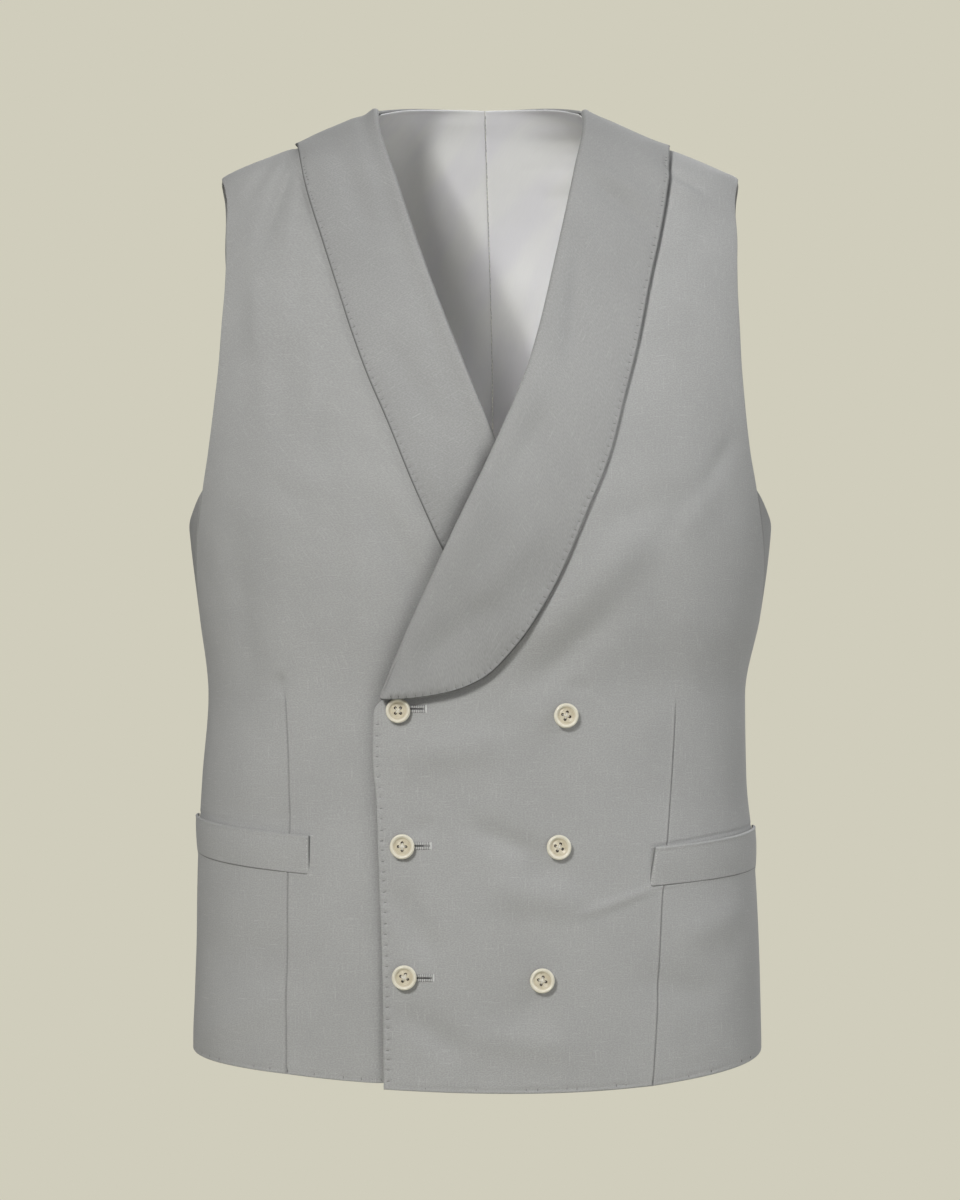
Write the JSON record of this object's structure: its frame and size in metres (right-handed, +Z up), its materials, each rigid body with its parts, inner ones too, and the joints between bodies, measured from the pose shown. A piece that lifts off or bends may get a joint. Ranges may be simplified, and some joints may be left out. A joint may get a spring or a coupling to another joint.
{
  "type": "suit waistcoat",
  "caption": "Double-breasted suit waistcoat with shawl lapels and welt pockets, filled out hollow with neck, armholes and hem open.",
  "frame": {"origin": "on the centre plane, level with the shoulder seams at the neck, where shoulders or a hanger hold it up", "axes": "+Z up, +X towards the wearer's left, -Y towards the front"},
  "size_m": [0.3708, 0.25, 0.6222],
  "materials": {
    "worsted": "matte grey worsted wool",
    "lapel_cloth": "matte grey worsted wool, lapel",
    "back_cloth": "smooth grey back cloth",
    "lining_satin": "silver satin",
    "button_ivory": "polished ivory, four holes"
  },
  "bodies": {
    "root": {"front_right": "worsted", "front_left": "worsted", "lapel_right": "lapel_cloth", "lapel_left": "lapel_cloth", "welt_right": "worsted", "welt_left": "worsted", "back_right": "back_cloth", "back_left": "back_cloth", "back_lining_right": "lining_satin", "back_lining_left": "lining_satin", "button_1": "button_ivory", "button_2": "button_ivory", "button_3": "button_ivory", "button_4": "button_ivory", "button_5": "button_ivory", "button_6": "button_ivory"}
  },
  "joints": []
}
